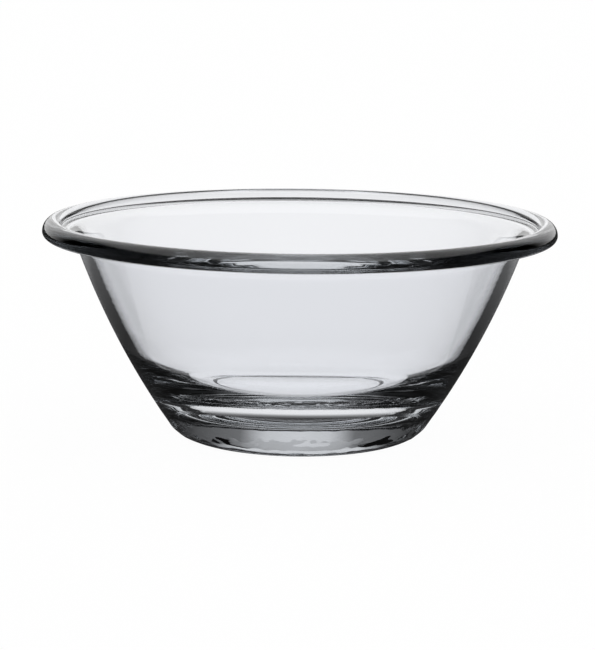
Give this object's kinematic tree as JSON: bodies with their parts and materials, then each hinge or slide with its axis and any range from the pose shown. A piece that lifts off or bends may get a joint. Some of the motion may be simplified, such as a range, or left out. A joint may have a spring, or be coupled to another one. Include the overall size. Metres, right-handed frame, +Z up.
{
  "type": "salad bowl",
  "caption": "Round clear-glass salad bowl with a beaded flared rim, a tapered wall that swells outwards, a thick floor and a flat foot ring.",
  "frame": {"origin": "middle of the foot, on the surface the bowl stands on", "axes": "+Z up along the bowl's axis; the bowl is turned, so X and Y are any two level directions"},
  "size_m": [0.23, 0.23, 0.0985],
  "materials": {
    "clear_glass": "clear, fire-polished pressed glass"
  },
  "bodies": {
    "root": {"glass_bowl": "clear_glass"}
  },
  "joints": []
}
